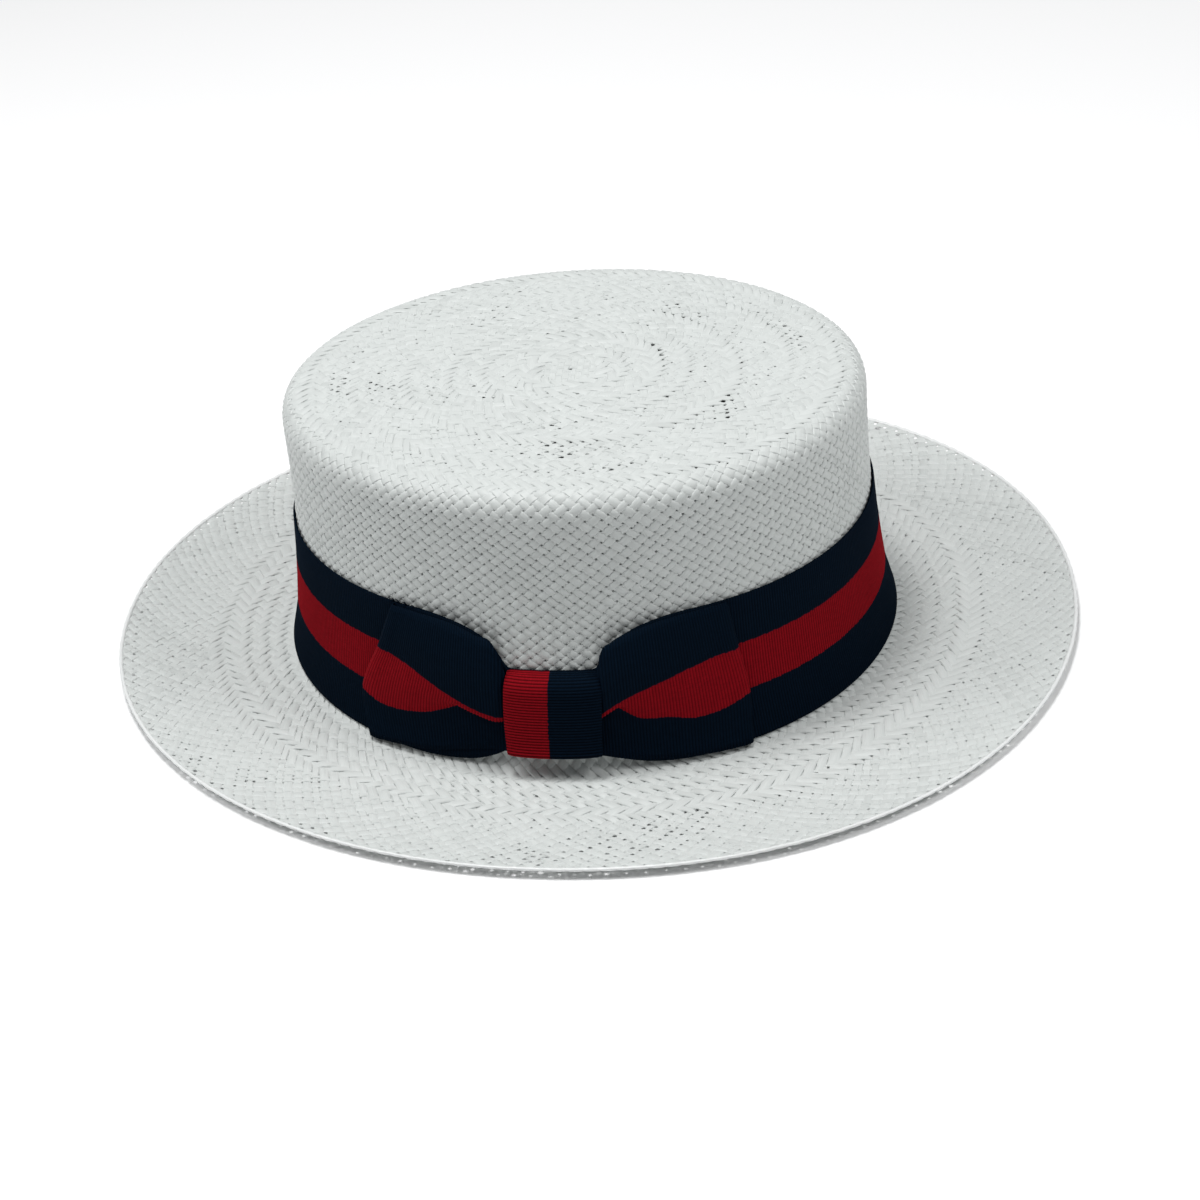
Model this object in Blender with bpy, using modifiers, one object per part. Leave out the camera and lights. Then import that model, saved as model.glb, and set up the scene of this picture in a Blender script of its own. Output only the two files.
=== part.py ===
"""A straw boater hat: crown and brim woven in one piece, a striped ribbon band and a flat tailored bow.

Metres, +Z up. The hat rests on the underside of its brim at z = 0. Its front points to -X, and the bow sits
on the wearer's left, on the -Y side. Every oval is drawn by one formula, so a ribbon follows the crown's own
wall at a named clearance.
"""

import math
from collections import namedtuple

import bmesh
import bpy
import numpy as np

# Brim
BRIM_LENGTH = 0.3230
BRIM_WIDTH = 0.2794
BRIM_SWELL = 0.037
BRIM_SQUARENESS = 2.05
RIM_LIFT = 0.0025
LIFT_WIDTH = 0.026

# Crown, measured on its outside
FOOT_LENGTH = 0.2000
FOOT_WIDTH = 0.1762
TIP_LENGTH = 0.1886
TIP_WIDTH = 0.1520
CROWN_SWELL = 0.017
CROWN_SQUARENESS = 2.0
CROWN_HEIGHT = 0.0932
TIP_DOME = 0.0015
WAIST = 0.0022
SHOULDER_RADIUS = 0.0070
FOOT_RADIUS = 0.0040
STRAW = 0.0018

# Ribbon band
RIBBON = 0.0010
RIBBON_WIDTH = 0.0483
BAND_RISE = 0.0008
FLARE_HEIGHT = 0.0120
CLEARANCE = 0.0003
LAYER_GAP = 0.0006

# Bow: places are measured along the wall from the middle of the hat's side, towards the back
KNOT_PLACE = -0.0028
KNOT_WIDTH = 0.0290
KNOT_HEIGHT = 0.0295
KNOT_RISE = 0.0070
KNOT_CORNER = 0.0012
KNOT_MARGIN = 0.0012
KNOT_GRIP = KNOT_WIDTH / 3
FRONT_LOOP_LENGTH = 0.0490
FRONT_LOOP_LEAN = 0.0055
BACK_LOOP_LENGTH = 0.0440
BACK_LOOP_LEAN = 0.0015
LOOP_HOLLOW = 0.0008
LOOP_PUFF = 0.0045
LOWER_PUFF = 0.45

# How finely the round forms are divided
SEGMENTS = 64
SHOULDER_STEPS = 4
WALL_STEPS = 5
FOOT_STEPS = 4
TIP_SHARES = (0.0, 0.3, 0.6, 0.85)
BRIM_SHARES = (0.2, 0.42, 0.6, 0.75, 0.88, 1.0)
RIBBON_ROWS = 9
ROW_CROWDING = 1.4
FOLD_STEPS = 4
KNOT_CORNER_STEPS = 3
KNOT_COLUMNS = 5
WALK_STEPS = 1440
MERGE = 1e-6

# The band's edges near the bow. along is the share of the nearer loop's length from the knot, and pull is how
# far both edges are drawn in, from 0 at the ribbon's full width to 1 at the height that fits inside the knot.
Pinch = namedtuple("Pinch", "along pull")
BAND_PINCHES = (
    Pinch(along=0.0, pull=1.0),
    Pinch(along=0.07, pull=0.66),
    Pinch(along=0.14, pull=0.42),
    Pinch(along=0.24, pull=0.24),
    Pinch(along=0.42, pull=0.07),
    Pinch(along=0.62, pull=0.0),
    Pinch(along=0.80, pull=0.0),
    Pinch(along=1.0, pull=0.0),
)

# One row for each section across a loop, from the knot to the outer fold. top and bottom say how far that
# edge is drawn in, as pull does above. crest is how far the upper half of the front layer stands out, as a
# share of LOOP_PUFF, and crease is the height of the fold below it, as a share of the section's height. The
# lower half stands out less, by the factor LOWER_PUFF.
Section = namedtuple("Section", "along top bottom crest crease")
FRONT_LOOP_SECTIONS = (
    Section(along=0.0, top=1.0, bottom=1.0, crest=0.25, crease=0.38),
    Section(along=0.14, top=0.88, bottom=0.72, crest=0.85, crease=0.40),
    Section(along=0.34, top=0.70, bottom=0.42, crest=1.0, crease=0.42),
    Section(along=0.54, top=0.44, bottom=0.28, crest=0.80, crease=0.40),
    Section(along=0.76, top=0.15, bottom=0.16, crest=0.45, crease=0.36),
    Section(along=0.92, top=0.02, bottom=0.04, crest=0.12, crease=0.34),
    Section(along=1.0, top=0.0, bottom=0.0, crest=0.0, crease=0.33),
)
BACK_LOOP_SECTIONS = (
    Section(along=0.0, top=1.0, bottom=1.0, crest=0.25, crease=0.44),
    Section(along=0.12, top=0.70, bottom=0.55, crest=0.85, crease=0.46),
    Section(along=0.28, top=0.44, bottom=0.22, crest=1.0, crease=0.44),
    Section(along=0.50, top=0.20, bottom=0.16, crest=0.75, crease=0.40),
    Section(along=0.76, top=0.05, bottom=0.10, crest=0.35, crease=0.36),
    Section(along=0.92, top=0.01, bottom=0.04, crest=0.10, crease=0.34),
    Section(along=1.0, top=0.0, bottom=0.0, crest=0.0, crease=0.33),
)

# side is -1 towards the hat's front and +1 towards its back. lean is how far the fold's top end falls back.
Loop = namedtuple("Loop", "name side length lean sections")
LOOPS = (
    Loop("bow_loop_front", -1, FRONT_LOOP_LENGTH, FRONT_LOOP_LEAN, FRONT_LOOP_SECTIONS),
    Loop("bow_loop_back", 1, BACK_LOOP_LENGTH, BACK_LOOP_LEAN, BACK_LOOP_SECTIONS),
)

# Worked out from the sizes above
BAND_BOTTOM = STRAW + BAND_RISE
BAND_TOP = BAND_BOTTOM + RIBBON_WIDTH
BAND_SEAT = CLEARANCE
BAND_FACE = BAND_SEAT + RIBBON
LOOP_BACK_FACE = BAND_FACE + LAYER_GAP + RIBBON
LOOP_FRONT_FACE = LOOP_BACK_FACE + LOOP_HOLLOW
KNOT_BOTTOM = STRAW + KNOT_RISE
KNOT_TOP = KNOT_BOTTOM + KNOT_HEIGHT
KNOT_LOW_FACE = KNOT_BOTTOM + RIBBON
KNOT_HIGH_FACE = KNOT_TOP - RIBBON
PINCH_BOTTOM = KNOT_LOW_FACE + 2 * CLEARANCE
PINCH_TOP = KNOT_HIGH_FACE - 2 * CLEARANCE
KNOT_CREST = max(loop.sections[0].crest for loop in LOOPS) * LOOP_PUFF
KNOT_SEAT = LOOP_FRONT_FACE + KNOT_CREST + RIBBON + LAYER_GAP


def oval(length, width, squareness, swell, angles):
    """Points of an oval: an ellipse with slightly fuller corners, a little wider towards +X."""
    c = np.cos(angles)
    s = np.sin(angles)
    x = length / 2 * np.sign(c) * np.abs(c) ** (2 / squareness)
    y = width / 2 * np.sign(s) * np.abs(s) ** (2 / squareness) * (1 + swell * c)
    return x, y


def round_foot(z, low, radius):
    """How far a quarter round at the wall's foot, from height low up, turns it out at height z."""
    inside = np.clip(low + radius - z, 0, radius)
    return radius - np.sqrt(radius**2 - inside**2)


def round_shoulder(z, high, radius):
    """How far a quarter round that ends at height high turns the wall in at height z."""
    inside = np.clip(z - high + radius, 0, radius)
    return radius - np.sqrt(radius**2 - inside**2)


def waist(z, low, high):
    """How far the wall is drawn in at height z: half a sine wave between heights low and high."""
    return WAIST * np.sin(math.pi * np.clip((z - low) / (high - low), 0, 1))


def crown_oval(share, out, angles):
    """The crown's oval at a share of its height, moved out by out from the straight taper."""
    length = FOOT_LENGTH + (TIP_LENGTH - FOOT_LENGTH) * share + 2 * out
    width = FOOT_WIDTH + (TIP_WIDTH - FOOT_WIDTH) * share + 2 * out
    return oval(length, width, CROWN_SQUARENESS, CROWN_SWELL, angles)


def level(x, y, z):
    """Points from x and y at height z, which may be one number."""
    return np.stack([x, y, np.broadcast_to(z, x.shape)], axis=-1)


def ribbon_point(angles, z, stand_off):
    """Points at height z, stand_off outside the straw, as a ribbon lies: it flares over the round foot."""
    flare = round_foot(BAND_BOTTOM, STRAW, FOOT_RADIUS)
    flare = flare * np.clip(1 - (z - BAND_BOTTOM) / FLARE_HEIGHT, 0, 1) ** 2
    out = flare - round_shoulder(z, CROWN_HEIGHT, SHOULDER_RADIUS) - waist(z, STRAW, CROWN_HEIGHT)
    x, y = crown_oval((z - STRAW) / (CROWN_HEIGHT - STRAW), out + stand_off, angles)
    return level(x, y, z)


def place_to_angle(place):
    """The oval's angle at a place: metres along the band's outside from the -Y side, positive towards +X."""
    angles = np.linspace(-math.pi, 0.0, WALK_STEPS + 1)
    points = ribbon_point(angles, (BAND_BOTTOM + BAND_TOP) / 2, BAND_FACE)
    walked = np.concatenate([[0], np.cumsum(np.linalg.norm(np.diff(points, axis=0), axis=1))])
    middle = np.interp(-math.pi / 2, angles, walked)
    return np.interp(place + middle, walked, angles)


def knot_edge(loop):
    """The place where the ribbons begin to open out of the knot on a loop's side."""
    return KNOT_PLACE + loop.side * (KNOT_WIDTH / 2 + KNOT_MARGIN)


def drawn(pull_bottom, pull_top):
    """Heights of a ribbon's lower and upper edge when they are drawn in towards the knot."""
    bottom = BAND_BOTTOM + (PINCH_BOTTOM - BAND_BOTTOM) * pull_bottom
    top = BAND_TOP + (PINCH_TOP - BAND_TOP) * pull_top
    return bottom, top


def grid_object(name, grid, closed_round=False, thickness=RIBBON):
    """An object from a grid of points, given thickness on the side that its faces point to.

    grid has rows, columns and x, y, z. Its faces point to the side from which the columns run to the right
    and the rows run up.
    """
    rows, columns = grid.shape[:2]
    mesh = bpy.data.meshes.new(name)
    b = bmesh.new()
    points = [[b.verts.new(point) for point in row] for row in grid]
    for i in range(rows - 1):
        for j in range(columns if closed_round else columns - 1):
            k = (j + 1) % columns
            corners = [points[i][j], points[i][k], points[i + 1][k], points[i + 1][j]]
            b.faces.new(corners)
    bmesh.ops.triangulate(b, faces=b.faces, quad_method="FIXED")
    b.to_mesh(mesh)
    b.free()
    mesh.shade_smooth()
    obj = bpy.data.objects.new(name, mesh)
    shell = obj.modifiers.new("thickness", "SOLIDIFY")
    shell.thickness = thickness
    shell.offset = 1.0
    shell.use_even_offset = True
    return obj


def material(name, colour, roughness):
    """A plain finish: colour is linear red, green and blue."""
    made = bpy.data.materials.new(name)
    made.use_nodes = True
    shader = made.node_tree.nodes["Principled BSDF"]
    shader.inputs["Base Color"].default_value = (*colour, 1.0)
    shader.inputs["Roughness"].default_value = roughness
    shader.inputs["Metallic"].default_value = 0.0
    made.diffuse_color = (*colour, 1.0)
    return made


def straw_rings(angles):
    """The rings of the straw's inner face, from the centre of the tip down the wall and out to the rim."""
    high = CROWN_HEIGHT - STRAW
    foot_radius = FOOT_RADIUS + STRAW
    shoulder_radius = SHOULDER_RADIUS - STRAW

    def ring(z):
        out = round_foot(z, 0.0, foot_radius) - round_shoulder(z, high, shoulder_radius)
        return crown_oval(z / high, out - waist(z, 0.0, high) - STRAW, angles)

    rings = []
    tip_x, tip_y = ring(high)
    for share in TIP_SHARES:
        rings.append(level(tip_x * share, tip_y * share, high + TIP_DOME * (1 - share**2)))
    for turn in np.linspace(math.pi / 2, 0, SHOULDER_STEPS + 1):
        z = high - shoulder_radius * (1 - math.sin(turn))
        rings.append(level(*ring(z), z))
    for z in np.linspace(high - shoulder_radius, foot_radius, WALL_STEPS + 1)[1:]:
        rings.append(level(*ring(z), z))
    for turn in np.linspace(0, math.pi / 2, FOOT_STEPS + 1)[1:]:
        z = foot_radius * (1 - math.sin(turn))
        rings.append(level(*ring(z), z))
    foot = rings[-1]
    rim = level(*oval(BRIM_LENGTH, BRIM_WIDTH, BRIM_SQUARENESS, BRIM_SWELL, angles), 0.0)
    for share in BRIM_SHARES:
        flat = foot + (rim - foot) * share
        from_rim = np.linalg.norm(rim - flat, axis=1)
        rise = RIM_LIFT * np.clip(1 - from_rim / LIFT_WIDTH, 0, 1) ** 2
        rings.append(level(flat[:, 0], flat[:, 1], rise))
    return rings


def straw_body():
    """Crown and brim as one open surface, the straw's inner face, thickened outwards and upwards.

    The grid's last row is the centre of the tip: its points coincide, so they are merged into one.
    """
    angles = np.arange(SEGMENTS) * (2 * math.pi / SEGMENTS)
    grid = np.array(straw_rings(angles))[::-1]
    obj = grid_object("straw_body", grid, closed_round=True, thickness=STRAW)
    b = bmesh.new()
    b.from_mesh(obj.data)
    bmesh.ops.remove_doubles(b, verts=b.verts, dist=MERGE)
    b.to_mesh(obj.data)
    b.free()
    obj.data.shade_smooth()
    return obj


def ribbon_rows():
    """Shares across the ribbon from its lower edge, closer together where it flares over the crown's foot."""
    return np.linspace(0, 1, RIBBON_ROWS) ** ROW_CROWDING


def band_stations():
    """(angle, pull) of each section round the band: even steps, with the bow's own places near the knot."""
    stations = {}
    for angle in np.arange(SEGMENTS) * (2 * math.pi / SEGMENTS) - math.pi:
        stations[round(float(angle), 6)] = 0.0
    for loop in LOOPS:
        edge = knot_edge(loop)
        ends = [place_to_angle(KNOT_PLACE), place_to_angle(edge + loop.side * loop.length)]
        low, high = sorted(ends)
        for angle in [a for a in stations if low < a < high]:
            del stations[angle]
        stations[round(float(place_to_angle(edge - loop.side * KNOT_GRIP)), 6)] = 1.0
        for pinch in BAND_PINCHES:
            angle = place_to_angle(edge + loop.side * loop.length * pinch.along)
            stations[round(float(angle), 6)] = pinch.pull
    return sorted(stations.items())


def ribbon_band():
    """The band: a closed strip round the crown, pinched where the bow's knot holds it."""
    columns = []
    for angle, pull in band_stations():
        bottom, top = drawn(pull, pull)
        z = bottom + (top - bottom) * ribbon_rows()
        columns.append(ribbon_point(np.full(len(z), angle), z, BAND_SEAT))
    return grid_object("ribbon_band", np.array(columns).swapaxes(0, 1), closed_round=True)


def puff(v, section):
    """How far a loop's front layer stands out at share v of its height: one round fold over another."""
    crease = section.crease
    upper = np.sin(math.pi * np.clip((v - crease) / (1 - crease), 0, 1)) * section.crest
    lower = np.sin(math.pi * np.clip(v / crease, 0, 1)) * section.crest * LOWER_PUFF
    return LOOP_PUFF * (upper + lower)


def bow_loop(loop):
    """One loop: a strip that runs from the knot along the band, folds over and runs back to the knot.

    The grid is the loop's inner face, so thickness is added away from the hollow between its two layers. Both
    layers end inside the knot, just short of its middle.
    """
    edge = knot_edge(loop)
    to_middle = abs(edge - KNOT_PLACE) - CLEARANCE
    inner_end = loop.sections[0]._replace(along=-to_middle / loop.length)
    sections = (inner_end, *loop.sections)
    v = ribbon_rows()

    def column(section, stand_off, beyond=0.0):
        bottom, top = drawn(section.bottom, section.top)
        lean = loop.lean * v * max(section.along, 0.0) ** 2
        place = edge + loop.side * (loop.length * section.along - lean + beyond)
        return ribbon_point(place_to_angle(place), bottom + (top - bottom) * v, stand_off)

    radius = LOOP_HOLLOW / 2
    columns = [column(section, LOOP_BACK_FACE) for section in sections]
    for turn in np.linspace(-math.pi / 2, math.pi / 2, FOLD_STEPS + 1)[1:-1]:
        stand_off = LOOP_BACK_FACE + radius * (1 + math.sin(turn))
        columns.append(column(sections[-1], stand_off, radius * math.cos(turn)))
    for section in reversed(sections):
        columns.append(column(section, LOOP_FRONT_FACE + puff(v, section)))
    grid = np.array(columns).swapaxes(0, 1)
    if loop.side > 0:
        grid = grid[:, ::-1]
    return grid_object(loop.name, grid)


def bow_knot():
    """The knot: a strip wrapped over the pinched bow, above, in front and below, its ends at the straw."""
    high = []
    for turn in np.linspace(0, math.pi / 2, KNOT_CORNER_STEPS + 1):
        stand_off = KNOT_SEAT - KNOT_CORNER * (1 - math.sin(turn))
        high.append((stand_off, KNOT_HIGH_FACE - KNOT_CORNER * (1 - math.cos(turn))))
    low = [(stand_off, KNOT_LOW_FACE + KNOT_HIGH_FACE - z) for stand_off, z in reversed(high)]
    path = [(CLEARANCE, KNOT_HIGH_FACE), *high, *low, (CLEARANCE, KNOT_LOW_FACE)]
    path.reverse()
    places = KNOT_PLACE + np.linspace(-KNOT_WIDTH / 2, KNOT_WIDTH / 2, KNOT_COLUMNS)
    angles = place_to_angle(places)
    grid = np.array([ribbon_point(angles, z, stand_off) for stand_off, z in path])
    return grid_object("bow_knot", grid)


def main():
    for old in list(bpy.data.objects):
        bpy.data.objects.remove(old)
    hat = bpy.data.collections.new("straw_boater_hat")
    bpy.context.scene.collection.children.link(hat)
    pieces = [
        (straw_body(), material("white_straw", (0.73, 0.75, 0.72), 0.55)),
        (ribbon_band(), material("band_ribbon", (0.008, 0.018, 0.045), 0.7)),
        *((bow_loop(loop), material(loop.name + "_ribbon", (0.010, 0.022, 0.055), 0.7)) for loop in LOOPS),
        (bow_knot(), material("knot_ribbon", (0.25, 0.008, 0.018), 0.7)),
    ]
    for obj, finish in pieces:
        obj.data.materials.append(finish)
        hat.objects.link(obj)


main()
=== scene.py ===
"""The looks of a straw boater hat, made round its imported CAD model.

The file follows the hat as it is put together: the woven straw from the middle of the crown's top to the rim, the
ribbon band, the flat bow, and last the table, light and camera. Metres, +Z up. The hat's front is -X and the bow
sits on its -Y side.
"""

import math
from collections import namedtuple

import bpy
import numpy as np
from mathutils import Matrix


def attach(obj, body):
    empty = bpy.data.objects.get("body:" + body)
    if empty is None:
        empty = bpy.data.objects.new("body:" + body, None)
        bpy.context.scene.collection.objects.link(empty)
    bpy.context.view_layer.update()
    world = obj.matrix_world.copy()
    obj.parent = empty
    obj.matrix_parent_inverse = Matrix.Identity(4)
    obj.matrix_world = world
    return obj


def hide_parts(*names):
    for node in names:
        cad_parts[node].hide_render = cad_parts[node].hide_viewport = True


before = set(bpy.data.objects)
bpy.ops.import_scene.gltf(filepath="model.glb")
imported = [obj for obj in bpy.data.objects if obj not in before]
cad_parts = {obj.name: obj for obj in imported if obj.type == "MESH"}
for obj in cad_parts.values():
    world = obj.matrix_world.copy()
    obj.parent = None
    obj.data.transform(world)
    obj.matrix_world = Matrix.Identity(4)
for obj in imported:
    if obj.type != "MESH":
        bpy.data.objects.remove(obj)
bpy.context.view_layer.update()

# Woven straw
# Crown and brim are one hand weave of split palm straw, bleached, pressed over an oval block and sized white. Two
# families of flat strands spiral out from the middle of the top, one to each side, and cross all the way to the rim.
# More strands are worked in where the hat gets wider, and each such round shows as a ring of longer floats.
BRIM_LENGTH = 0.3230
BRIM_WIDTH = 0.2794
BRIM_SWELL = 0.037
BRIM_SQUARENESS = 2.05
RIM_LIFT = 0.0025
LIFT_WIDTH = 0.026
FOOT_LENGTH = 0.2000
FOOT_WIDTH = 0.1762
TIP_LENGTH = 0.1886
TIP_WIDTH = 0.1520
CROWN_SWELL = 0.017
CROWN_HEIGHT = 0.0932
TIP_DOME = 0.0015
WAIST = 0.0022
SHOULDER_RADIUS = 0.0070
FOOT_RADIUS = 0.0040
STRAW = 0.0018

# How deep the middle of the weave lies under the wall's outer face, on the crown and on the brim
CROWN_DEPTH = 0.00055
BRIM_DEPTH = 0.00095

# The rim's hem is turned back and pressed flat, which leaves two shallow grooves along it
HEM_GROOVES = (0.0030, 0.0062)
HEM_GROOVE_DEPTH = 0.00008
HEM_GROOVE_WIDTH = 0.0008

# The walk runs over the straw from the middle of the tip to the rim, in stretches that are as long as on a mean radius
TIP_WALK = 0.0780
SHOULDER_WALK = (SHOULDER_RADIUS - CROWN_DEPTH) * math.pi / 2
WALL_WALK = CROWN_HEIGHT - STRAW - SHOULDER_RADIUS - FOOT_RADIUS
FOOT_WALK = (FOOT_RADIUS + CROWN_DEPTH) * math.pi / 2
BRIM_WALK = 0.0525
WALL_START = TIP_WALK + SHOULDER_WALK
BRIM_START = WALL_START + WALL_WALK + FOOT_WALK

# The weave: strands are about 2.8 mm wide, so that a half row, from one crossing to the next ring of them, is 1.83 mm
HALF_ROW = 0.00183


def oval(length, width, squareness, swell, angles):
    """An ellipse with slightly fuller corners: x = half the length by the cosine, to the power 2 / squareness, and y
    likewise from the sine, made wider by swell towards +X."""
    c = np.cos(angles)
    s = np.sin(angles)
    x = length / 2 * np.sign(c) * np.abs(c) ** (2 / squareness)
    y = width / 2 * np.sign(s) * np.abs(s) ** (2 / squareness) * (1 + swell * c)
    return x, y


def straw_middle(angles, walk):
    """Points of the weave's middle face at an oval's angle and a walk from the tip's centre.

    The walk is split into the flat tip, a quarter round, the straight wall, a second quarter round and the brim. On the
    first four the point lies on the crown's oval for its height, moved out by the rounds and in by the waist, and on
    the brim it is the straight blend from the crown's foot to the rim, lifted by a square curve near the rim.
    """
    on_brim = np.maximum((walk - BRIM_START) / BRIM_WALK, 0)
    blend = np.clip((walk - WALL_START) / (BRIM_START - WALL_START), 0, 1)
    depth = CROWN_DEPTH + (BRIM_DEPTH - CROWN_DEPTH) * blend**4
    shoulder = SHOULDER_RADIUS - depth
    foot = FOOT_RADIUS + depth
    turn_in = math.pi / 2 * np.clip((WALL_START - walk) / SHOULDER_WALK, 0, 1)
    turn_out = math.pi / 2 * np.clip((walk - BRIM_START + FOOT_WALK) / FOOT_WALK, 0, 1)
    down_wall = np.clip((walk - WALL_START) / WALL_WALK, 0, 1)
    top = CROWN_HEIGHT - SHOULDER_RADIUS
    low = STRAW + FOOT_RADIUS
    z = top + (low - top) * down_wall + shoulder * np.sin(turn_in) - foot * np.sin(turn_out)
    share = (z - STRAW) / (CROWN_HEIGHT - STRAW)
    out = foot * (1 - np.cos(turn_out)) - shoulder * (1 - np.cos(turn_in))
    out = out - WAIST * np.sin(math.pi * np.clip(share, 0, 1)) - depth
    length = FOOT_LENGTH + (TIP_LENGTH - FOOT_LENGTH) * share + 2 * out
    width = FOOT_WIDTH + (TIP_WIDTH - FOOT_WIDTH) * share + 2 * out
    x, y = oval(length, width, 2.0, CROWN_SWELL, angles)
    on_tip = np.clip(walk / TIP_WALK, 0, 1)
    x = x * on_tip
    y = y * on_tip
    rim_x, rim_y = oval(BRIM_LENGTH, BRIM_WIDTH, BRIM_SQUARENESS, BRIM_SWELL, angles)
    from_rim = np.hypot(rim_x - x, rim_y - y) * np.abs(1 - on_brim)
    lift = RIM_LIFT * np.clip(1 - from_rim / LIFT_WIDTH, 0, 1) ** 2 * (on_brim > 0)
    x = x + (rim_x - x) * on_brim
    y = y + (rim_y - y) * on_brim
    for groove in HEM_GROOVES:
        lift = lift - HEM_GROOVE_DEPTH * np.exp(-(((from_rim - groove) / HEM_GROOVE_WIDTH) ** 2))
    z = z + TIP_DOME * (1 - on_tip**2) + lift
    return np.stack([x, y, z], axis=-1)


def straw_point(angles, walk, height):
    """Points at a height over the weave's middle face, along its normal: the cross product of a small step in the walk
    and a small step in the angle."""
    step = 1e-4
    here = straw_middle(angles, walk)
    outward = straw_middle(angles, walk + step) - straw_middle(angles, walk - step)
    around = straw_middle(angles + step, walk) - straw_middle(angles - step, walk)
    normal = np.cross(outward, around)
    normal /= np.linalg.norm(normal, axis=-1, keepdims=True)
    return here + normal * np.asarray(height)[..., None]


# The corners of a strand's section, as shares of its width and of its thickness: split palm has a flat face whose
# edges curl under, least where it is pressed hardest
DROOPED = (-0.40, 0.5, 0.5, -0.40, -0.5, -0.5)
ROUNDED = ((-0.5, -0.30, 0.30, 0.5, 0.30, -0.30), DROOPED)
CURLED = ((-0.5, -0.38, 0.38, 0.5, 0.40, -0.40), DROOPED)
EASED = ((-0.5, -0.40, 0.40, 0.5, 0.40, -0.40), (-0.35, 0.5, 0.5, -0.35, -0.5, -0.5))
PLAIN = ((-0.5, 0.5, 0.5, -0.5), (0.5, 0.5, -0.5, -0.5))

# How the strands of each part of the hat stand: relief is how far a strand is lifted where it passes over, lap is the
# share of its width by which it reaches over its neighbours, and dip is how far it sinks before it dives under, as a
# share of the way down. The crown's side has small round pillows, and plain flat strands where the ribbon covers it.
# The brim and the tip are pressed hard and filled with more sizing, least near the crown.
Form = namedtuple("Form", "across up thickness relief lap dip")
PILLOW = Form(*ROUNDED, thickness=0.00044, relief=0.00026, lap=0.02, dip=0.19)
COVERED = Form(*PLAIN, thickness=0.00040, relief=0.00022, lap=0.01, dip=0.15)
HOOKED = Form(*CURLED, thickness=0.00032, relief=0.00026, lap=0.00, dip=0.28)
PRESSED = Form(*CURLED, thickness=0.00028, relief=0.00020, lap=0.00, dip=0.24)
SMOOTH = Form(*EASED, thickness=0.00028, relief=0.00019, lap=0.00, dip=0.25)

# Hand-split strands differ in width and in how high they stand, by these shares
WIDTH_SPREAD = 0.13
HEIGHT_SPREAD = 0.12

# Where four strands meet, small gaps are left between them. All have a least width, most are a little wider, a few are
# twice that, and where the hand wove loosely, in patches about 12 mm long, they are wider still. Along the hem, where
# the strands turn back, there is one at each corner.
HOLE_LEAST = 0.2
HOLE_GROWTH = 0.35
PATCH_WAVES = 6
PATCH_EVENNESS = 3.2
PATCH_LENGTH = 0.012
PATCH_START = 0.3
PATCH_GROWTH = 3
HEM_HOLE = 0.15

# A strand's ends reach this many strand widths under the next round. At the rim they end under its folded edge, and
# what would run on past that is pressed back to nearly nothing.
END_REACH = 1.1
RIM_INSIDE = 0.0010
RIM_SQUEEZE = 0.98


def strand_tubes(points, tone, mirrored, across):
    """Corners, quads and looks of closed tubes from points[strand, along, round the section].

    Each looks row holds the distance along the strand in mm, the place across it from 0 to 1, and its own tone.
    """
    strands, along, corners = points.shape[:3]
    index = np.arange(strands * along * corners).reshape(strands, along, corners)
    beside = np.roll(index, -1, axis=2)
    quads = np.stack([index[:, :-1], beside[:, :-1], beside[:, 1:], index[:, 1:]], axis=-1).reshape(-1, 4)
    fan = [[0, k, k + 1, k + 2] for k in range(1, corners - 2, 2)]
    start = index[:, 0][:, np.array(fan)[:, ::-1]].reshape(-1, 4)
    end = index[:, -1][:, fan].reshape(-1, 4)
    quads = np.concatenate([quads, start, end])
    if mirrored:
        quads = quads[:, ::-1]
    steps = np.linalg.norm(np.diff(points.mean(axis=2), axis=1), axis=-1)
    walked = np.concatenate([np.zeros((strands, 1)), np.cumsum(steps, axis=1)], axis=1) * 1000
    looks = np.empty(points.shape)
    looks[..., 0] = walked[:, :, None]
    looks[..., 1] = np.array(across) + 0.5
    looks[..., 2] = tone[:, None, None]
    return points.reshape(-1, 3), quads, looks.reshape(-1, 3)


def patches(angles, walk, rng, scale):
    """Soft patches over the straw, nearly all between -1 and 1: a sum of sine waves that cross it in different
    directions, divided by the evenness."""
    total = np.zeros(np.broadcast(angles, walk).shape)
    for _ in range(PATCH_WAVES):
        turns = rng.integers(2, 9)
        total = total + np.sin(turns * angles + walk / scale * rng.uniform(0.5, 1.6) + rng.uniform(0, 2 * math.pi))
    return total / PATCH_EVENNESS


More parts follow.
